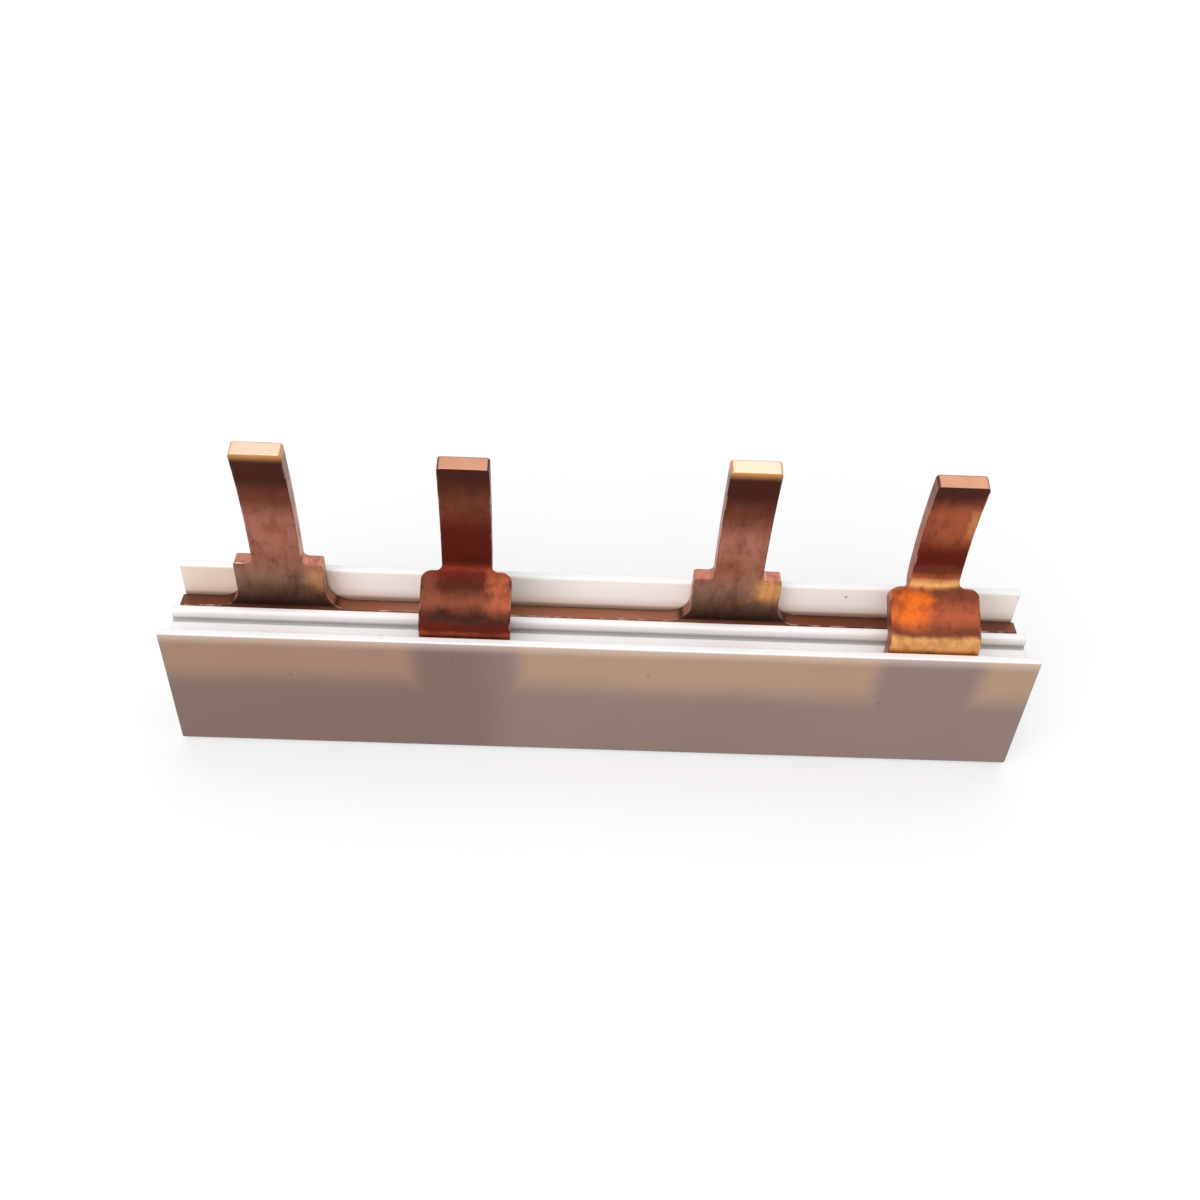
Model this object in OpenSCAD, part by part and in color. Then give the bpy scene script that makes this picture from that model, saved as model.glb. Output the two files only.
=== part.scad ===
// Two-pole pin-type comb busbar, a short cut piece with two pins on each pole.
// X runs along the bar, -Y is the front wall, +Z is up. The origin is the middle of the
// underside of the housing.

/* [Pins] */
// Number of pins on each pole
pins_per_pole = 2; // [1:1:6]
// Distance between two pins of the same pole, two 18 mm modules
pitch = 36; // [27:0.5:54]
// Distance from a rear pin to the front pin on its right
row_offset = 14.9; // [12:0.1:18]
// Width of the blade that goes into the terminal
pin_w = 3.8; // [2.5:0.1:5]
// Width of the tab below its shoulders
tab_w = 6.9; // [6:0.1:9]
// Radius in the corner where the blade meets its shoulders
root_r = 0.45; // [0.1:0.05:0.6]
// Radius on the corners of the blade's end
tip_r = 0.35; // [0.1:0.05:0.8]
// Radius where a tab meets the top edge of its bar
foot_r = 1.8; // [0.5:0.1:2.5]

/* [Copper strip] */
// Thickness of the copper strip
bar_t = 1.2; // [0.8:0.1:2]
// Height of the front bar
front_bar_h = 6.4; // [4:0.1:7.2]
// Height of the rear bar
rear_bar_h = 8.5; // [4:0.1:8.8]
// How far each bar stands out of the housing at both ends
bar_proud = 0.15; // [0:0.05:1]

/* [Rear tabs] */
// Height of the rear shoulders over the top of the rear wall
rear_shoulder_rise = 1.6; // [0.5:0.1:3]
// Radius on the outer corners of the rear shoulders
rear_shoulder_r = 0.25; // [0.1:0.05:0.8]
// Length of the rear blade along its curve
rear_blade_len = 11.7; // [6:0.05:14]
// How far the end of the rear blade leans to the front, in degrees
rear_tip_lean = 13; // [1:0.5:20]

/* [Front tabs] */
// Height over the front wall at which the front tab starts to bend back
bend_rise = 0.2; // [0:0.1:1]
// Lean of the sloping part of the front tab from the vertical, in degrees
slope_lean = 58; // [35:1:66]
// Length of the sloping part of the front tab
slope_len = 3.3; // [2.5:0.1:5]
// Inside radius of the lower bend
lower_bend_r = 0.4; // [0.2:0.05:1]
// Inside radius of the upper bend
upper_bend_r = 0.9; // [0.2:0.05:1.5]
// How far round the upper bend the shoulders are cut, in degrees
shoulder_turn = 9; // [5:1:20]
// Radius on the outer corners of the front shoulders
front_shoulder_r = 0.8; // [0.1:0.05:1]
// Lean to the back of the blade where it leaves the upper bend, in degrees
front_root_lean = 3; // [2:1:20]
// How far the end of the front blade leans to the front, in degrees
front_tip_lean = 12; // [2:1:25]
// Length of the front blade along its curve
front_blade_len = 9.55; // [6:0.05:14]

/* [Housing] */
// Length of housing past the outermost tab at each end
end_margin = 4.7; // [1:0.05:12]
// Height of the front wall
front_wall_h = 12; // [10.5:0.1:16]
// How much taller the rear wall is
rear_wall_rise = 0.4; // [0:0.1:0.8]
// Thickness of the front and rear walls
wall_t = 0.75; // [0.6:0.05:1.2]
// Thickness of the floor
floor_t = 0.9; // [0.8:0.05:1.4]
// Radius along the two bottom edges
edge_r = 0.7; // [0.2:0.1:0.8]
// Radius on the free edges of the walls
lip_r = 0.2; // [0.05:0.05:0.25]
// Clearance between a copper bar and each side of its slot
slot_gap = 0.125; // [0.05:0.025:0.2]

/* [Insulating box between the poles] */
// Width of the box that keeps the two bars apart
box_w = 3.8; // [3.6:0.1:6]
// Thickness of the two upright webs of the box
web_t = 0.8; // [0.6:0.05:1]
// Thickness of the two top plates of the box
plate_t = 0.7; // [0.5:0.05:1]
// Depth of the front ledge below the top of the front wall
ledge_drop = 1.9; // [1.6:0.1:2.4]
// Width of the front ledge, from the front slot to the ridge
ledge_w = 1.55; // [1.2:0.05:1.8]
// Thickness of the ridge between ledge and shelf
ridge_t = 0.8; // [0.6:0.05:0.9]
// Depth of the ridge's top below the top of the front wall
ridge_drop = 1.05; // [0.4:0.05:1.1]
// Depth of the rear shelf below the top of the front wall
shelf_drop = 3.3; // [3.2:0.1:4.5]
// Width and depth of the groove along the foot of the ridge
groove_w = 0.35; // [0.1:0.05:0.4]

/* [Hidden] */
$fn = 64;

// Along the length
comb_span = (pins_per_pole - 1) * pitch;
group_len = comb_span + row_offset;
body_len = group_len + tab_w + 2 * end_margin;
rear_x0 = -group_len / 2;
front_x0 = rear_x0 + row_offset;

// Across the depth
slot_w = bar_t + 2 * slot_gap;
body_depth = 2 * (wall_t + slot_w) + box_w;
front_bar_y = -body_depth / 2 + wall_t + slot_w / 2;
rear_bar_y = body_depth / 2 - wall_t - slot_w / 2;
box_front = front_bar_y + slot_w / 2;
box_back = rear_bar_y - slot_w / 2;
ridge_front = box_front + ledge_w;

// Heights
rear_wall_h = front_wall_h + rear_wall_rise;
ledge_z = front_wall_h - ledge_drop;
ridge_z = front_wall_h - ridge_drop;
shelf_z = front_wall_h - shelf_drop;
front_bar_top = floor_t + front_bar_h;
rear_bar_top = floor_t + rear_bar_h;
bend_z = front_wall_h + bend_rise;
rear_shoulder_z = rear_wall_h + rear_shoulder_rise;

// Curves of the copper, measured to the middle of the strip
lower_r = lower_bend_r + bar_t / 2;
upper_r = upper_bend_r + bar_t / 2;
upper_turn = slope_lean - front_root_lean;
front_bow_turn = front_root_lean + front_tip_lean;
front_bow_r = front_blade_len / front_bow_turn * 180 / PI;
rear_bow_r = rear_blade_len / rear_tip_lean * 180 / PI;

// Where the slope of the front tab starts, and where its shoulders are
slope_y = front_bar_y + lower_r * (1 - cos(slope_lean));
slope_z = bend_z + lower_r * sin(slope_lean);

// How far the rounding of a blade's corner would run on past its end
tip_rise = 0.1 * tip_r;

// Longer than any part of a tab, for what only cuts
reach = 2 * (rear_shoulder_z + max(front_blade_len, rear_blade_len));

/* Outlines ------------------------------------------------------------------ */

// An upright rib from z0 to z1 with both top edges rounded
module rib(y, w, z0, z1, r) {
    translate([y, z0])
        square([w, z1 - z0 - r]);
    translate([y + r, z0])
        square([w - 2 * r, z1 - z0]);
    for (side = [r, w - r])
        translate([y + side, z1 - r])
            circle(r);
}

// The floor, with its two lower edges rounded
module floor_outline() {
    intersection() {
        union() {
            translate([-body_depth / 2 + edge_r, 0])
                square([body_depth - 2 * edge_r, floor_t]);
            translate([-body_depth / 2, edge_r])
                square([body_depth, floor_t - edge_r]);
            for (side = [-1, 1])
                translate([side * (body_depth / 2 - edge_r), edge_r])
                    circle(edge_r);
        }
        translate([-body_depth / 2, 0])
            square([body_depth, floor_t]);
    }
}

// The hollow box between the two slots, with its ledge, ridge and shelf
module box_outline() {
    rib(box_front, web_t, 0, ledge_z, lip_r);
    translate([box_front + web_t / 2, ledge_z - plate_t])
        square([ledge_w + ridge_t - web_t / 2, plate_t]);
    rib(ridge_front, ridge_t, shelf_z - plate_t, ridge_z, ridge_t * 0.4);
    translate([ridge_front, shelf_z - plate_t])
        square([box_back - ridge_front - web_t / 2, plate_t]);
    rib(box_back - web_t, web_t, 0, shelf_z, lip_r);
}

// The whole section of the extruded housing
module housing_outline() {
    difference() {
        union() {
            floor_outline();
            rib(-body_depth / 2, wall_t, edge_r, front_wall_h, lip_r);
            rib(body_depth / 2 - wall_t, wall_t, edge_r, rear_wall_h, lip_r);
            intersection() {
                box_outline();
                translate([-body_depth / 2, floor_t / 2])
                    square([body_depth, reach]);
            }
        }
        translate([ridge_front - groove_w / 2, ledge_z])
            circle(d = groove_w);
    }
}

// An arc of strip about the origin, from the X axis round to the given angle
module arc_strip(r, angle) {
    outer_r = r + bar_t / 2;
    intersection() {
        difference() {
            circle(outer_r);
            circle(r - bar_t / 2);
        }
        translate([-outer_r, 0])
            square(2 * outer_r);
        rotate(angle)
            translate([-outer_r, -2 * outer_r])
                square(2 * outer_r);
    }
}

// The strip seen from its edge: each step draws one stretch and goes on from its end
module run_up(len) {
    translate([-bar_t / 2, 0])
        square([bar_t, len]);
    translate([0, len])
        children();
}

module turn_back(r, angle) {
    translate([r, 0]) {
        mirror([1, 0])
            arc_strip(r, angle);
        rotate(-angle)
            translate([-r, 0])
                children();
    }
}

module turn_front(r, angle) {
    translate([-r, 0]) {
        arc_strip(r, angle);
        rotate(angle)
            translate([r, 0])
                children();
    }
}

// Half of what is cut from a tab beside its blade: square shoulders with rounded
// outer corners, and a fillet at the blade's root. The shoulders lie on the X axis.
module shoulder_cut(shoulder_r) {
    half_tab = tab_w / 2;
    difference() {
        union() {
            translate([pin_w / 2, 0])
                square([reach, reach]);
            translate([half_tab - shoulder_r, -shoulder_r])
                square([reach, 2 * shoulder_r]);
        }
        translate([half_tab - shoulder_r, -shoulder_r])
            circle(shoulder_r);
        difference() {
            translate([pin_w / 2, 0])
                square(root_r);
            translate([pin_w / 2 + root_r, root_r])
                circle(root_r);
        }
    }
}

// A bar seen from the front, with the foot of each tab flared into its top edge
module bar_outline(x0, top, tab_top) {
    translate([-body_len / 2 - bar_proud, floor_t])
        square([body_len + 2 * bar_proud, top - floor_t]);
    for (i = [0 : pins_per_pole - 1])
        translate([x0 + i * pitch, top])
            difference() {
                translate([-tab_w / 2 - foot_r, -foot_r])
                    square([tab_w + 2 * foot_r, tab_top - top + foot_r]);
                for (side = [-1, 1])
                    translate([side * (tab_w / 2 + foot_r), foot_r]) {
                        circle(foot_r);
                        translate([-foot_r, 0])
                            square([2 * foot_r, reach]);
                    }
            }
}

/* Solids -------------------------------------------------------------------- */

// Draws an edge view of the strip, given in Y and Z, out to the width of a tab
module across_tab() {
    translate([-tab_w / 2, 0, 0])
        rotate([90, 0, 90])
            linear_extrude(tab_w)
                children();
}

// Draws a front view of the strip, given in X and Z, through its thickness
module through_strip(y) {
    translate([0, y + bar_t / 2, 0])
        rotate([90, 0, 0])
            linear_extrude(bar_t)
                children();
}

// Cuts the shoulders and rounds the end of a blade, both square to the sheet.
// The first child is the tab, and the cut lies across a sheet that leans by lean.
module cut_shoulders(y, z, lean, shoulder_r) {
    difference() {
        children();
        translate([0, y, z])
            rotate([90 - lean, 0, 0])
                translate([0, 0, -reach / 2])
                    linear_extrude(reach)
                        for (side = [0, 1])
                            mirror([side, 0])
                                shoulder_cut(shoulder_r);
    }
}

// The two corners that are cut from the end of a blade. The rounding meets the end at a
// slight angle, as a punched corner does.
module tip_cut(y, z, lean) {
    translate([0, y, z])
        rotate([90 + lean, 0, 0])
            translate([0, 0, -bar_t])
                linear_extrude(2 * bar_t)
                    for (side = [0, 1])
                        mirror([side, 0])
                            translate([pin_w / 2 - tip_r, tip_rise - tip_r])
                                difference() {
                                    square(2 * tip_r);
                                    circle(tip_r);
                                }
}

// Front tab from its bar to its tip: up behind the wall, back over the box, up again
module front_tab() {
    run = bend_z - front_bar_top;
    upper_y = slope_y + slope_len * sin(slope_lean);
    upper_z = slope_z + slope_len * cos(slope_lean);
    root_y = upper_y + upper_r * (cos(front_root_lean) - cos(slope_lean));
    root_z = upper_z + upper_r * (sin(slope_lean) - sin(front_root_lean));
    cut_lean = slope_lean - shoulder_turn;
    cut_y = upper_y + upper_r * (cos(cut_lean) - cos(slope_lean));
    cut_z = upper_z + upper_r * (sin(slope_lean) - sin(cut_lean));
    tip_y = root_y + front_bow_r * (cos(front_tip_lean) - cos(front_root_lean));
    tip_z = root_z + front_bow_r * (sin(front_root_lean) + sin(front_tip_lean));
    difference() {
        cut_shoulders(cut_y, cut_z, cut_lean, front_shoulder_r)
            across_tab()
                translate([front_bar_y, front_bar_top])
                    run_up(run)
                        turn_back(lower_r, slope_lean)
                            run_up(slope_len)
                                turn_front(upper_r, upper_turn)
                                    turn_front(front_bow_r, front_bow_turn);
        tip_cut(tip_y, tip_z, front_tip_lean);
    }
}

// Rear tab from its bar to its tip: straight up, then bowed gently to the front
module rear_tab() {
    run = rear_shoulder_z - rear_bar_top;
    tip_y = rear_bar_y - rear_bow_r * (1 - cos(rear_tip_lean));
    tip_z = rear_shoulder_z + rear_bow_r * sin(rear_tip_lean);
    difference() {
        cut_shoulders(rear_bar_y, rear_shoulder_z, 0, rear_shoulder_r)
            across_tab()
                translate([rear_bar_y, rear_bar_top])
                    run_up(run)
                        turn_front(rear_bow_r, rear_tip_lean);
        tip_cut(tip_y, tip_z, rear_tip_lean);
    }
}

module housing() {
    color([0.86, 0.78, 0.71])
        translate([-body_len / 2, 0, 0])
            rotate([90, 0, 90])
                linear_extrude(body_len)
                    housing_outline();
}

module front_comb_bar() {
    color([0.72, 0.40, 0.25]) {
        through_strip(front_bar_y)
            bar_outline(front_x0, front_bar_top, front_wall_h);
        for (i = [0 : pins_per_pole - 1])
            translate([front_x0 + i * pitch, 0, 0])
                front_tab();
    }
}

module rear_comb_bar() {
    color([0.66, 0.38, 0.27]) {
        through_strip(rear_bar_y)
            bar_outline(rear_x0, rear_bar_top, rear_wall_h);
        for (i = [0 : pins_per_pole - 1])
            translate([rear_x0 + i * pitch, 0, 0])
                rear_tab();
    }
}

housing();
front_comb_bar();
rear_comb_bar();
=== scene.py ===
import math
from collections import namedtuple

import bpy
from mathutils import Matrix, Vector


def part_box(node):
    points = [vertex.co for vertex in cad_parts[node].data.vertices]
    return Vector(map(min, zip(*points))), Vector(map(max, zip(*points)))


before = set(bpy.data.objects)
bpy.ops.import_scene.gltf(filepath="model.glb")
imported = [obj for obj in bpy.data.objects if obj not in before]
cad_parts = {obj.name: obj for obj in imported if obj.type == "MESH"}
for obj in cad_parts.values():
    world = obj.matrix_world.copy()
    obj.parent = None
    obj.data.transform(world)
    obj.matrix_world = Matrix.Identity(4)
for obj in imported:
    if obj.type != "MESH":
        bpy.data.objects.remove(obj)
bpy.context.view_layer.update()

# Comb busbar. The CAD solids keep their shapes and get procedural PVC and copper, on a white stage.
# Lengths are in mm, and colours are display colours from 0 to 255, unless a comment says otherwise.

MM = 0.001

# --- Sizes ----------------------------------------------------------------------------------


def high_corner(node):
    """Largest x, y and z of a CAD node."""
    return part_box(node)[1] / MM


house_hi = high_corner("housing")
front_hi = high_corner("front_comb_bar")
rear_hi = high_corner("rear_comb_bar")

WALL_T = 0.75
REAR_WALL_TOP = house_hi.z
FRONT_WALL_TOP = REAR_WALL_TOP - 0.4
WALL_MIDDLE_Y = house_hi.y - WALL_T / 2
LEDGE_Z = FRONT_WALL_TOP - 1.9
RIDGE_FRONT_Y = -0.35

FRONT_BAR_TOP = 7.3
REAR_BAR_TOP = 9.4
PITCH = 36.0
REAR_PIN_X = (-25.45, -25.45 + PITCH)
FRONT_PIN_X = (-10.55, -10.55 + PITCH)
TAB_W = 6.9

# Landmarks up the tabs
REAR_SHOULDER = REAR_WALL_TOP + 1.6
REAR_TIP = rear_hi.z - 0.2
LOWER_BEND = FRONT_WALL_TOP + 0.6
UPPER_BEND = LOWER_BEND + 3.0
FRONT_TIP = front_hi.z - 0.3

# --- Small node-graph helper ------------------------------------------------------------------


def lin(r, g, b):
    """Display colour as the linear colour that Blender wants."""
    out = []
    for c in (r, g, b):
        c /= 255.0
        out.append(c / 12.92 if c <= 0.04045 else ((c + 0.055) / 1.055) ** 2.4)
    return (*out, 1.0)


class Graph:
    """Builds a material. A value is a number, a colour or an output socket."""

    def __init__(self, name):
        self.mat = bpy.data.materials.new(name)
        self.mat.use_nodes = True
        self.tree = self.mat.node_tree
        self.tree.nodes.clear()
        coords = self.node("ShaderNodeTexCoord")
        self.position = self.vector("SCALE", coords.outputs["Object"], scale=1 / MM)
        self.x, self.y, self.z = self.split(self.position)
        self.nx, self.ny, self.nz = self.split(coords.outputs["Normal"])

    def node(self, kind, **props):
        n = self.tree.nodes.new(kind)
        for key, value in props.items():
            setattr(n, key, value)
        return n

    def put(self, socket, value):
        if isinstance(value, bpy.types.NodeSocket):
            self.tree.links.new(value, socket)
        else:
            socket.default_value = value

    def split(self, vector):
        n = self.node("ShaderNodeSeparateXYZ")
        self.put(n.inputs[0], vector)
        return n.outputs[0], n.outputs[1], n.outputs[2]

    def vector(self, op, a, b=None, scale=None):
        n = self.node("ShaderNodeVectorMath", operation=op)
        self.put(n.inputs[0], a)
        if b is not None:
            self.put(n.inputs[1], b)
        if scale is not None:
            n.inputs["Scale"].default_value = scale
        return n.outputs["Value"] if op == "DOT_PRODUCT" else n.outputs["Vector"]

    def math(self, op, a, b=0.0):
        n = self.node("ShaderNodeMath", operation=op)
        self.put(n.inputs[0], a)
        self.put(n.inputs[1], b)
        return n.outputs[0]

    def mul(self, first, *rest):
        for other in rest:
            first = self.math("MULTIPLY", first, other)
        return first

    def add(self, a, b):
        return self.math("ADD", a, b)

    def absolute(self, a):
        return self.math("ABSOLUTE", a)

    def most(self, first, *rest):
        for other in rest:
            first = self.math("MAXIMUM", first, other)
        return first

    def step(self, value, lo, hi, out_lo=0.0, out_hi=1.0):
        """Smooth step from out_lo at lo to out_hi at hi. lo may be the larger."""
        n = self.node("ShaderNodeMapRange", interpolation_type="SMOOTHSTEP")
        if lo > hi:
            lo, hi, out_lo, out_hi = hi, lo, out_hi, out_lo
        self.put(n.inputs["Value"], value)
        for key, v in (("From Min", lo), ("From Max", hi), ("To Min", out_lo), ("To Max", out_hi)):
            n.inputs[key].default_value = v
        return n.outputs["Result"]

    def band(self, value, lo, hi, soft):
        """1 between lo and hi, with edges soft wide."""
        half = soft / 2
        return self.mul(self.step(value, lo - half, lo + half), self.step(value, hi + half, hi - half))

    def pattern_point(self, stretch, seed):
        """The point in mm for a pattern. A stretch below 1 draws it out along an axis, and seed moves it."""
        n = self.node("ShaderNodeMapping")
        self.put(n.inputs["Vector"], self.position)
        n.inputs["Scale"].default_value = stretch
        n.inputs["Location"].default_value = (seed, seed * 0.7, seed * 1.3)
        return n.outputs[0]

    def noise(self, per_mm, detail=2.0, rough=0.5, stretch=(1, 1, 1), seed=0.0):
        """Soft noise from 0 to 1, mostly near 0.5. per_mm is in cells per mm."""
        n = self.node("ShaderNodeTexNoise", noise_dimensions="3D", noise_type="FBM")
        self.put(n.inputs["Vector"], self.pattern_point(stretch, seed))
        n.inputs["Scale"].default_value = per_mm
        n.inputs["Detail"].default_value = detail
        n.inputs["Roughness"].default_value = rough
        return n.outputs["Fac"]

    def wander(self, noise, reach):
        """Noise as a shift of up to half of reach either way."""
        return self.mul(self.math("SUBTRACT", noise, 0.5), reach)

    def specks(self, per_mm, size, seed):
        """Sparse dots: 1 inside a dot."""
        n = self.node("ShaderNodeTexVoronoi", feature="F1")
        self.put(n.inputs["Vector"], self.pattern_point((1, 1, 1), seed))
        n.inputs["Scale"].default_value = per_mm
        return self.step(n.outputs["Distance"], size * per_mm, size * per_mm * 0.5)

    def mix(self, fac, a, b):
        n = self.node("ShaderNodeMix", data_type="RGBA", blend_type="MIX", clamp_factor=True)
        self.put(n.inputs[0], fac)
        self.put(n.inputs[6], a)
        self.put(n.inputs[7], b)
        return n.outputs[2]

    def over(self, colour, tone, cover):
        """Lays a display colour over colour, as strongly as cover says."""
        return self.mix(cover, colour, lin(*tone))

    def along(self, value, tones):
        """Eased run of tones along a length: tones are (place, display colour) in order."""
        lo, hi = tones[0][0], tones[-1][0]
        place = self.node("ShaderNodeMapRange")
        self.put(place.inputs["Value"], value)
        place.inputs["From Min"].default_value = lo
        place.inputs["From Max"].default_value = hi
        n = self.node("ShaderNodeValToRGB")
        n.color_ramp.interpolation = "EASE"
        elements = n.color_ramp.elements
        while len(elements) < len(tones):
            elements.new(0.5)
        for element, (at, tone) in zip(elements, tones):
            element.position = (at - lo) / (hi - lo)
            element.color = lin(*tone)
        self.put(n.inputs[0], place.outputs["Result"])
        return n.outputs[0]

    def rounded(self, radius):
        """The normal that the surface would have with its edges rounded."""
        bevel = self.node("ShaderNodeBevel", samples=6)
        bevel.inputs["Radius"].default_value = radius * MM
        return bevel.outputs[0]

    def edges(self, rounded):
        """1 where the rounded normal leaves the flat one, so on edges, and 0 on flats."""
        geometry = self.node("ShaderNodeNewGeometry")
        same = self.vector("DOT_PRODUCT", rounded, geometry.outputs["Normal"])
        return self.step(same, 0.995, 0.86)

    def bump(self, height, strength, distance, normal):
        n = self.node("ShaderNodeBump")
        n.inputs["Strength"].default_value = strength
        n.inputs["Distance"].default_value = distance * MM
        self.put(n.inputs["Height"], height)
        self.put(n.inputs["Normal"], normal)
        return n.outputs[0]

    def finish(self, colour, roughness, normal, **sockets):
        shader = self.node("ShaderNodeBsdfPrincipled")
        self.put(shader.inputs["Base Color"], colour)
        self.put(shader.inputs["Roughness"], roughness)
        self.put(shader.inputs["Normal"], normal)
        for key, value in sockets.items():
            shader.inputs[key].default_value = value
        out = self.node("ShaderNodeOutputMaterial")
        self.put(out.inputs["Surface"], shader.outputs[0])
        return self.mat


# --- PVC of the housing -------------------------------------------------------------------------

IVORY = (230, 222, 215)
WHITE_IVORY = (242, 240, 240)
# TAN tones: painted shade on the walls' outside faces, with a copper tint seen through the thin PVC. The
# SHADE tones are darker painted shade where copper stands behind the wall.
TAN = (162, 130, 105)
LIGHT_TAN = (182, 150, 126)
LEFT_TAN = (148, 112, 92)
SHADE = (130, 108, 100)
LIGHT_SHADE = (142, 120, 110)
LEFT_SHADE = (115, 90, 80)
# Painted light: a paler band just below the wall's top, light coming through the thin wall
LIT_TOP_BAND = (225, 205, 190)
WALL_CREAM = (235, 215, 200)
WALL_WHITE = (252, 246, 242)
WALL_WARM_SHADE = (215, 190, 170)
WALL_FOOT_SHADOW = (145, 115, 90)
RIDGE_FOOT_SHADE = (140, 138, 136)
DUST = (95, 70, 60)

SHOW_THROUGH_MARGIN = 0.7
MASK_EDGE = 0.1
PVC_EDGE_R = 0.12
PVC_ROUGHNESS = (0.42, 0.55)
PVC_BUMP = 0.2
PVC_IOR = 1.5
RELIEF_DEPTH = 0.02

# Parts of a normal at which a face begins to count as facing a way, and counts in full
SIDEWAYS = (0.55, 0.9)
UPWARDS = (0.5, 0.85)

# How strongly each tone covers what is under it
LEFT_COVER = 0.7
LIT_TOP_BAND_COVER = 0.45
RIGHT_END_COVER = 0.3
WARM_SHADE_COVER = 0.6
FOOT_SHADOW_COVER = 0.8
TOP_LIGHT_COVER = 0.9
RIDGE_FOOT_SHADE_COVER = 0.75
DUST_COVER = 0.6


def seen_through(g, wave, bar_top, pins):
    """1 where copper stands close behind the thin wall: the bar all along, and its tabs above it."""
    show = g.step(g.add(g.z, wave), bar_top + 2.0, bar_top - 1.2)
    half = TAB_W / 2 + SHOW_THROUGH_MARGIN
    for x in pins:
        show = g.most(show, g.band(g.add(g.x, wave), x - half, x + half, 2.2))
    return show


def wall_outside(g, wave, facing_back):
    """Tan wall, partly painted shade and partly a copper tint seen through the thin wall, with darker
    painted shade in front of the copper, darker towards the left, and a paler band of painted light near its
    top.
    """
    # Painted shade with a copper tint, on faces that look out to the front or back
    clear = g.mix(g.noise(0.1, seed=4.0), lin(*TAN), lin(*LIGHT_TAN))
    dark = g.mix(g.noise(0.07, seed=9.0), lin(*SHADE), lin(*LIGHT_SHADE))
    left = g.mul(g.step(g.add(g.x, g.mul(wave, 1.5)), -6.0, -11.0), LEFT_COVER)
    clear = g.over(clear, LEFT_TAN, left)
    dark = g.over(dark, LEFT_SHADE, left)
    # Darker painted shade in front of the copper bar and its tabs
    front = g.mix(seen_through(g, wave, FRONT_BAR_TOP, FRONT_PIN_X), clear, dark)
    back = g.mix(seen_through(g, wave, REAR_BAR_TOP, REAR_PIN_X), clear, dark)
    # Painted light in a band just below the wall's top
    lit_top_band = g.step(g.z, FRONT_WALL_TOP - 1.1, FRONT_WALL_TOP - 0.1)
    return g.over(g.mix(facing_back, front, back), LIT_TOP_BAND, g.mul(lit_top_band, LIT_TOP_BAND_COVER))


def rear_wall_inside(g, wave):
    """Cream wall, whiter in the middle of its length, and warm where it meets the copper bar: warm painted
    shade above the bar and a dark painted shadow line at the wall's foot.
    """
    cream = g.mix(g.step(g.x, -24.0, -18.0), lin(*WALL_CREAM), lin(*WALL_WHITE))
    cream = g.over(cream, WALL_CREAM, g.step(g.x, 24.0, 33.0, 0.0, RIGHT_END_COVER))
    # Warm painted shade low on the wall, above the copper bar
    warm = g.step(g.add(g.z, g.mul(wave, 0.3)), REAR_BAR_TOP + 1.3, REAR_BAR_TOP)
    cream = g.over(cream, WALL_WARM_SHADE, g.mul(warm, WARM_SHADE_COVER))
    # Painted shadow: a dark line where the wall meets the bar
    foot = g.step(g.add(g.z, g.mul(wave, 0.2)), REAR_BAR_TOP + 0.5, REAR_BAR_TOP + 0.05)
    return g.over(cream, WALL_FOOT_SHADOW, g.mul(foot, FOOT_SHADOW_COVER))


# Painted shade: a grey line in the crease where the ledge meets the foot of the ridge
def ridge_foot_shade(g):
    low = g.step(g.z, LEDGE_Z + 0.4, LEDGE_Z)
    on_ledge = g.step(g.z, LEDGE_Z - 0.5, LEDGE_Z - 0.1)
    by_ridge = g.band(g.y, RIDGE_FRONT_Y - 0.35, RIDGE_FRONT_Y + 0.3, 0.15)
    return g.mul(low, by_ridge, on_ledge, RIDGE_FOOT_SHADE_COVER)


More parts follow.
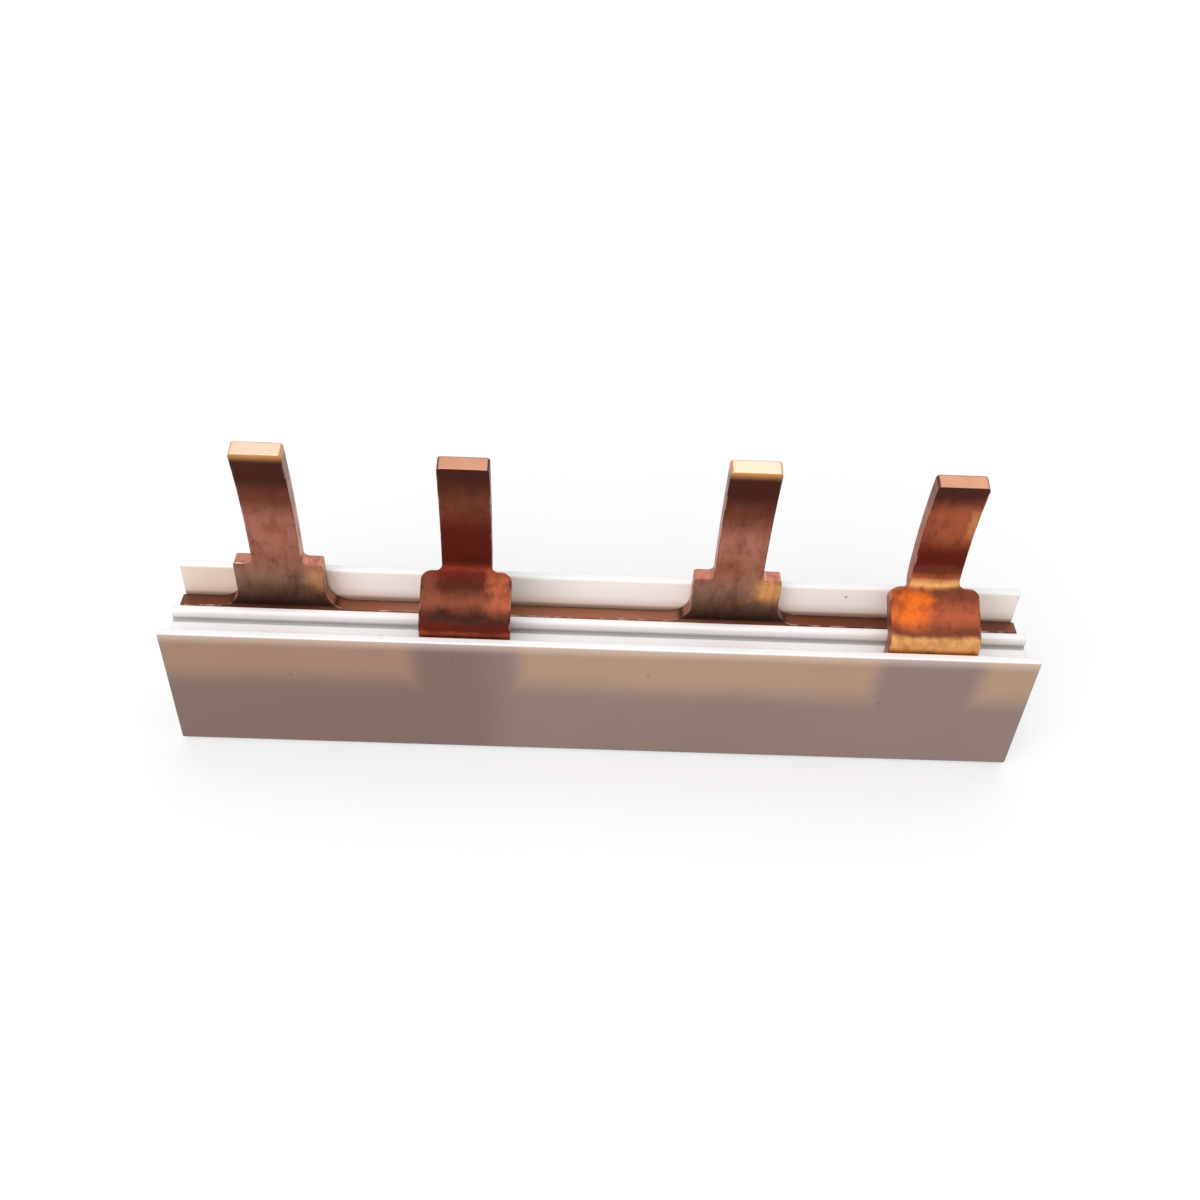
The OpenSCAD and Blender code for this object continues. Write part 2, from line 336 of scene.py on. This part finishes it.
def pvc_material():
    """Extruded ivory PVC. The walls take their own tones by which side of them a face is on, which are
    partly painted shade, and faces that look up get painted light.
    """
    g = Graph("pvc_ivory")
    facing_front = g.step(g.ny, *(-part for part in SIDEWAYS))
    facing_back = g.step(g.ny, *SIDEWAYS)
    facing_up = g.step(g.nz, *UPWARDS)
    in_front = g.step(g.y, -WALL_MIDDLE_Y + MASK_EDGE, -WALL_MIDDLE_Y - MASK_EDGE)
    behind = g.step(g.y, WALL_MIDDLE_Y - MASK_EDGE, WALL_MIDDLE_Y + MASK_EDGE)
    inner_face = WALL_MIDDLE_Y - WALL_T / 2
    at_inner_face = g.step(g.y, inner_face - WALL_T / 2, inner_face - MASK_EDGE)

    wave = g.wander(g.noise(0.06), 2.0)
    outside = wall_outside(g, wave, facing_back)
    cloud = g.noise(0.12, 3.0, 0.55, stretch=(0.4, 1, 1))
    colour = g.mix(cloud, lin(*IVORY), lin(*WHITE_IVORY))
    colour = g.mix(g.mul(facing_front, in_front), colour, outside)
    colour = g.mix(g.mul(facing_back, behind), colour, outside)
    colour = g.mix(g.mul(facing_front, at_inner_face), colour, rear_wall_inside(g, wave))
    # Painted light: faces that look up are whiter
    colour = g.over(colour, WHITE_IVORY, g.mul(facing_up, TOP_LIGHT_COVER))
    # Painted shade in the crease at the ridge's foot
    colour = g.over(colour, RIDGE_FOOT_SHADE, ridge_foot_shade(g))
    where_dusty = g.step(g.noise(0.25, 1.0, seed=6.0), 0.50, 0.58)
    colour = g.over(colour, DUST, g.mul(g.specks(0.35, 0.16, seed=3.0), where_dusty, DUST_COVER))

    extrusion_lines = g.noise(6.0, rough=0.6, stretch=(0.01, 1, 1))
    grain = g.noise(9.0, rough=0.6)
    relief = g.add(g.mul(extrusion_lines, 0.6), g.mul(grain, 0.4))
    normal = g.bump(relief, PVC_BUMP, RELIEF_DEPTH, g.rounded(PVC_EDGE_R))
    return g.finish(colour, g.step(grain, 0.3, 0.7, *PVC_ROUGHNESS), normal, IOR=PVC_IOR)


# --- Copper -------------------------------------------------------------------------------------

# Tones for the copper, used for its heat and handling marks and for painted reflections, highlights and
# shade
SHADE_BLACK = (40, 20, 15)
UMBER = (70, 30, 20)
OXBLOOD = (95, 28, 15)
BROWN = (115, 60, 42)
TAUPE = (165, 130, 110)
ROSE = (190, 125, 105)
COPPER = (168, 86, 56)
ORANGE = (230, 110, 35)
GOLD = (215, 155, 95)
STRAW_HIGHLIGHT = (250, 185, 120)
BUFF = (190, 138, 112)
PALE = (235, 200, 175)

MARK_SOFTNESS = 0.6
MARK_RAGGED = 2.4
HEIGHT_WANDER = 0.7
COPPER_EDGE_R = 0.18
COPPER_ROUGHNESS = (0.34, 0.46)
COPPER_BUMP = 0.15
COPPER_METALLIC = 0.92
BAR_LIGHTEST_X = -4.0
BAR_END_COVER = 0.6
STREAK_COVER = 0.25
BLOTCH_COVER = 0.3
MOTTLE_COVER = 0.4
EDGE_COVER, EDGE_COVER_AT_TIP = 0.65, 0.15
SIDE_COVER, SIDE_COVER_AT_TIP = 0.85, 0.35

# Up a rear tab: painted shade at its foot, where it stands in the slot, then tones partly from tarnish and
# partly painted reflection along its bend
REAR_TONES = (
    (REAR_BAR_TOP, SHADE_BLACK),
    (REAR_SHOULDER - 2.0, TAUPE),
    (REAR_SHOULDER + 1.0, ROSE),
    (REAR_SHOULDER + 3.4, ROSE),
    (REAR_TIP - 4.4, BROWN),
    (REAR_TIP - 2.6, UMBER),
    (REAR_TIP - 1.0, UMBER),
    (REAR_TIP, GOLD),
)
# Up a front blade: tones partly from tarnish and partly painted reflection
FRONT_BLADE_TONES = (
    (UPPER_BEND + 2.0, OXBLOOD),
    (UPPER_BEND + 3.2, OXBLOOD),
    (FRONT_TIP - 4.0, BROWN),
    (FRONT_TIP - 0.6, UMBER),
)
# Painted reflections of a front tab's two bends: bands of light and dark where the sheet turns, one set
# darker and one brighter
DARK_BEND_REFLECTIONS = (
    (LOWER_BEND - 0.6, COPPER),
    (LOWER_BEND, OXBLOOD),
    (LOWER_BEND + 0.8, SHADE_BLACK),
    (LOWER_BEND + 1.5, BROWN),
    (UPPER_BEND - 0.8, UMBER),
    (UPPER_BEND, OXBLOOD),
)
BRIGHT_BEND_REFLECTIONS = (
    (LOWER_BEND - 0.6, GOLD),
    (LOWER_BEND + 0.4, GOLD),
    (LOWER_BEND + 0.8, BROWN),
    (LOWER_BEND + 1.6, COPPER),
    (UPPER_BEND - 0.4, BROWN),
    (UPPER_BEND, GOLD),
    (UPPER_BEND + 0.7, COPPER),
    (UPPER_BEND + 1.1, BROWN),
)

# A mark is a patch of another tone, partly stain and partly painted highlight and reflection. Its middle is
# (across from the tab's centre, up), and its size is (across, up)
Mark = namedtuple("Mark", "middle size tone strength")
# A tab's tones run from its foot to its tip. side is for its side faces, and end for its cut tip
Tab = namedtuple("Tab", "tones marks side end")

REAR_LEFT = Tab(
    tones=REAR_TONES,
    marks=(
        # Painted highlight on the right of the tab's wide part
        Mark((2.8, REAR_SHOULDER - 1.4), (1.6, 2.4), STRAW_HIGHLIGHT, 0.5),
        Mark((0.0, REAR_SHOULDER + 3.8), (2.0, 1.2), COPPER, 0.5),
    ),
    side=BUFF,
    end=PALE,
)
REAR_RIGHT = Tab(
    tones=REAR_TONES,
    marks=(
        # Painted highlight on the right of the tab's wide part
        Mark((2.8, REAR_SHOULDER - 1.1), (2.8, 2.2), STRAW_HIGHLIGHT, 1.0),
        Mark((-0.8, REAR_SHOULDER + 1.4), (1.8, 1.4), COPPER, 0.4),
    ),
    side=ROSE,
    end=PALE,
)
FRONT_LEFT = Tab(
    tones=DARK_BEND_REFLECTIONS + FRONT_BLADE_TONES,
    marks=(
        Mark((2.7, LOWER_BEND + 2.0), (1.6, 1.8), COPPER, 0.7),
        Mark((-2.8, LOWER_BEND + 2.0), (1.2, 1.8), BROWN, 0.7),
    ),
    side=BROWN,
    end=BUFF,
)
FRONT_RIGHT = Tab(
    tones=BRIGHT_BEND_REFLECTIONS + FRONT_BLADE_TONES,
    marks=(
        Mark((-1.7, LOWER_BEND + 1.9), (2.6, 1.4), ORANGE, 0.9),
        Mark((0.2, FRONT_TIP - 3.9), (5.0, 4.0), COPPER, 0.9),
        Mark((1.6, FRONT_TIP - 3.8), (0.8, 2.2), GOLD, 0.5),
    ),
    side=COPPER,
    end=BUFF,
)


def marked(g, across, height, colour, mark):
    """Adds a patch of another tone, softer the larger it is."""
    inside = [
        g.band(value, middle - size / 2, middle + size / 2, size * MARK_SOFTNESS)
        for value, middle, size in zip((across, height), mark.middle, mark.size)
    ]
    return g.over(colour, mark.tone, g.mul(*inside, mark.strength))


def tab_colour(g, x, height, tab):
    """One tab at x: its tones, then its marks, its side faces, its shoulders' tops and its cut tip. The last
    three are toned by which way they face, and are partly painted light.
    """
    ragged = g.wander(g.noise(0.9, 3.0, 0.6, seed=11.0), MARK_RAGGED)
    across = g.add(g.math("SUBTRACT", g.x, x), ragged)
    colour = g.along(height, tab.tones)
    for mark in tab.marks:
        colour = marked(g, across, height, colour, mark)
    # Side faces: a tone per tab, partly the cut faces' own colour and partly painted reflection
    sideways = g.step(g.absolute(g.nx), 0.6, 0.8)
    fading_up = g.step(g.z, REAR_TIP - 2.0, UPPER_BEND, SIDE_COVER_AT_TIP, SIDE_COVER)
    colour = g.over(colour, tab.side, g.mul(sideways, fading_up))
    # Painted light on the up-facing tops of the shoulders
    at_shoulder = g.band(g.z, REAR_SHOULDER - 0.1, REAR_SHOULDER + 0.1, 0.2)
    colour = g.over(colour, ROSE, g.mul(g.step(g.nz, 0.95, 0.99), at_shoulder))
    # Up-facing cut tip: partly bare cut metal, partly painted highlight
    near_tip = g.step(g.z, FRONT_TIP - 1.2, FRONT_TIP - 0.8)
    return g.over(colour, tab.end, g.mul(g.step(g.nz, 0.72, 0.86), near_tip))


def bar_colour(g):
    """The bar itself: duller and browner than its tabs, and darker towards its ends."""
    stain = g.noise(0.5, 3.0, 0.6, stretch=(0.3, 1, 1))
    colour = g.mix(stain, lin(*COPPER), lin(*TAUPE))
    ends = g.step(g.absolute(g.math("SUBTRACT", g.x, BAR_LIGHTEST_X)), 10.0, 24.0)
    return g.over(colour, UMBER, g.mul(ends, BAR_END_COVER))


def copper_material(name, places, tabs, bar_top):
    """Rolled copper with heat and handling marks, and with painted reflections, highlights and shade. tabs
    stand at places, and the bar below bar_top.
    """
    g = Graph(name)
    wobble = g.wander(g.noise(0.5, 3.0, 0.6), HEIGHT_WANDER)
    height = g.add(g.z, g.mul(wobble, g.step(g.z, REAR_TIP - 0.8, REAR_TIP - 1.6)))
    middle = sum(places) / 2
    on_right = g.step(g.x, middle - 1.0, middle + 1.0)
    colour = g.mix(on_right, *(tab_colour(g, x, height, tab) for x, tab in zip(places, tabs)))

    # Brushed streaks and soft stains, which leave the cut tips clean
    below_tip = g.step(g.z, FRONT_TIP, FRONT_TIP - 0.8)
    streak = g.noise(1.6, 3.0, 0.55, stretch=(1, 1, 0.08), seed=2.0)
    blotch = g.noise(0.8, 3.0, 0.55, seed=5.0)
    mottle = g.noise(1.3, 3.0, 0.6, stretch=(1, 1, 0.6), seed=13.0)
    colour = g.over(colour, UMBER, g.mul(g.step(streak, 0.50, 0.75, 0.0, STREAK_COVER), below_tip))
    colour = g.over(colour, OXBLOOD, g.mul(g.step(blotch, 0.55, 0.75, 0.0, BLOTCH_COVER), below_tip))
    colour = g.over(colour, UMBER, g.mul(g.step(mottle, 0.45, 0.75, 0.0, MOTTLE_COVER), below_tip))

    on_bar = g.step(g.z, bar_top + 0.45, bar_top + 0.05)
    colour = g.mix(on_bar, colour, bar_colour(g))

    # Cut edges: pale in patches, partly wear and partly painted highlight, and dark red elsewhere, and
    # fainter at the tips
    rounded = g.rounded(COPPER_EDGE_R)
    wear_and_glint = g.step(g.noise(0.8, seed=8.0), 0.50, 0.64)
    edge = g.mix(wear_and_glint, lin(*OXBLOOD), lin(*PALE))
    below_end = g.step(g.z, REAR_TIP - 0.2, REAR_TIP - 0.8, EDGE_COVER_AT_TIP, EDGE_COVER)
    colour = g.mix(g.mul(g.edges(rounded), below_end), colour, edge)

    grain = g.noise(5.0, rough=0.6, stretch=(1, 1, 0.08), seed=1.0)
    dents = g.noise(1.5, 3.0, 0.6, seed=7.0)
    relief = g.add(g.mul(grain, 0.4), g.mul(dents, 0.6))
    normal = g.bump(relief, COPPER_BUMP, RELIEF_DEPTH, rounded)
    roughness = g.step(blotch, 0.3, 0.7, *COPPER_ROUGHNESS)
    return g.finish(colour, roughness, normal, Metallic=COPPER_METALLIC)


looks = {
    "housing": pvc_material(),
    "front_comb_bar": copper_material("copper_front", FRONT_PIN_X, (FRONT_LEFT, FRONT_RIGHT), FRONT_BAR_TOP),
    "rear_comb_bar": copper_material("copper_rear", REAR_PIN_X, (REAR_LEFT, REAR_RIGHT), REAR_BAR_TOP),
}
for node, material in looks.items():
    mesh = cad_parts[node].data
    mesh.materials.clear()
    mesh.materials.append(material)

# --- Stage. Lengths here are in metres --------------------------------------------------------------

WORLD_LIGHT = 0.62
FLOOR_HALF = 1.5
FLOOR_DROP = 0.0001
FLOOR_GREY = (0.6, 0.6, 0.6, 1)
NEAR, FAR = 0.08, 0.40
NEAR_GLOW, FAR_GLOW = 0.37, 0.63
LAMP_AIM = (0, 0, 0.012)


def seen_directly(tree):
    """1 for camera, glossy and transmission rays, 0 for the rays that light the part."""
    path = tree.nodes.new("ShaderNodeLightPath")
    seen = path.outputs["Is Camera Ray"]
    for name in ("Is Glossy Ray", "Is Transmission Ray"):
        either = tree.nodes.new("ShaderNodeMath")
        either.operation = "MAXIMUM"
        tree.links.new(seen, either.inputs[0])
        tree.links.new(path.outputs[name], either.inputs[1])
        seen = either.outputs[0]
    return seen


def white_world(strength):
    """Plain white to the camera and in reflections, and a softer even light on the part."""
    world = bpy.data.worlds.new("studio")
    bpy.context.scene.world = world
    world.use_nodes = True
    tree = world.node_tree
    tree.nodes.clear()
    level = tree.nodes.new("ShaderNodeMapRange")
    level.inputs["To Min"].default_value = strength
    level.inputs["To Max"].default_value = 1.0
    tree.links.new(seen_directly(tree), level.inputs["Value"])
    back = tree.nodes.new("ShaderNodeBackground")
    back.inputs["Color"].default_value = (1, 1, 1, 1)
    tree.links.new(level.outputs["Result"], back.inputs["Strength"])
    out = tree.nodes.new("ShaderNodeOutputWorld")
    tree.links.new(back.outputs[0], out.inputs["Surface"])


def floor_material():
    """Grey floor with a glow that lifts it to white where it is open, so that it still keeps the part's
    shadow. The lamps light it less further out, so the glow grows with the distance from the part."""
    mat = bpy.data.materials.new("floor_white")
    mat.use_nodes = True
    tree = mat.node_tree
    tree.nodes.clear()
    coords = tree.nodes.new("ShaderNodeTexCoord")
    distance = tree.nodes.new("ShaderNodeVectorMath")
    distance.operation = "LENGTH"
    tree.links.new(coords.outputs["Object"], distance.inputs[0])
    glow_level = tree.nodes.new("ShaderNodeMapRange")
    glow_level.interpolation_type = "SMOOTHSTEP"
    for key, value in (("From Min", NEAR), ("From Max", FAR), ("To Min", NEAR_GLOW), ("To Max", FAR_GLOW)):
        glow_level.inputs[key].default_value = value
    tree.links.new(distance.outputs["Value"], glow_level.inputs["Value"])
    strength = tree.nodes.new("ShaderNodeMath")
    strength.operation = "MULTIPLY"
    tree.links.new(seen_directly(tree), strength.inputs[0])
    tree.links.new(glow_level.outputs["Result"], strength.inputs[1])
    glow = tree.nodes.new("ShaderNodeEmission")
    tree.links.new(strength.outputs[0], glow.inputs["Strength"])
    diffuse = tree.nodes.new("ShaderNodeBsdfDiffuse")
    diffuse.inputs["Color"].default_value = FLOOR_GREY
    both = tree.nodes.new("ShaderNodeAddShader")
    tree.links.new(diffuse.outputs[0], both.inputs[0])
    tree.links.new(glow.outputs[0], both.inputs[1])
    out = tree.nodes.new("ShaderNodeOutputMaterial")
    tree.links.new(both.outputs[0], out.inputs["Surface"])
    return mat


def floor():
    mesh = bpy.data.meshes.new("floor")
    corners = [(x * FLOOR_HALF, y * FLOOR_HALF, 0) for x, y in ((-1, -1), (1, -1), (1, 1), (-1, 1))]
    mesh.from_pydata(corners, [], [(0, 1, 2, 3)])
    mesh.materials.append(floor_material())
    plane = bpy.data.objects.new("floor", mesh)
    bpy.context.scene.collection.objects.link(plane)
    plane.location.z = -FLOOR_DROP


def softbox(name, position, size, power):
    light = bpy.data.lights.new(name, "AREA")
    light.shape = "DISK"
    light.size = size
    light.energy = power
    lamp = bpy.data.objects.new(name, light)
    lamp.location = position
    direction = Vector(LAMP_AIM) - Vector(position)
    lamp.rotation_euler = direction.to_track_quat("-Z", "Y").to_euler()
    bpy.context.scene.collection.objects.link(lamp)


white_world(WORLD_LIGHT)
floor()
softbox("key", position=(-0.22, -0.42, 0.42), size=0.8, power=3.0)
softbox("top", position=(0.15, 0.20, 0.60), size=0.7, power=0.9)

# --- Camera. Its place is in mm and its angles in degrees -----------------------------------------------

IMAGE_SIZE = 1200
FOCAL_LENGTH_PX = 1300
SENSOR = 36
CAMERA_AT = (-2.6, -74.2, 81.3)
CAMERA_YAW = 1.8
CAMERA_PITCH = 42.5
CAMERA_ROLL = -3.2


def camera():
    """Camera at the photo's angle: turned by yaw, tipped down by pitch and rolled about its view."""
    yaw, pitch, roll = (math.radians(a) for a in (CAMERA_YAW, CAMERA_PITCH, CAMERA_ROLL))
    ahead = Vector((math.sin(yaw) * math.cos(pitch), math.cos(yaw) * math.cos(pitch), -math.sin(pitch)))
    level_right = Vector((math.cos(yaw), -math.sin(yaw), 0))
    level_down = ahead.cross(level_right)
    right = math.cos(roll) * level_right + math.sin(roll) * level_down
    down = math.cos(roll) * level_down - math.sin(roll) * level_right
    data = bpy.data.cameras.new("camera")
    data.lens = FOCAL_LENGTH_PX / IMAGE_SIZE * SENSOR
    data.sensor_width = SENSOR
    data.clip_start = 0.005
    data.clip_end = 20
    cam = bpy.data.objects.new("camera", data)
    turn = Matrix((right, -down, -ahead)).transposed().to_4x4()
    cam.matrix_world = Matrix.Translation(Vector(CAMERA_AT) * MM) @ turn
    bpy.context.scene.collection.objects.link(cam)
    bpy.context.scene.camera = cam


camera()
bpy.context.scene.view_settings.view_transform = "Standard"
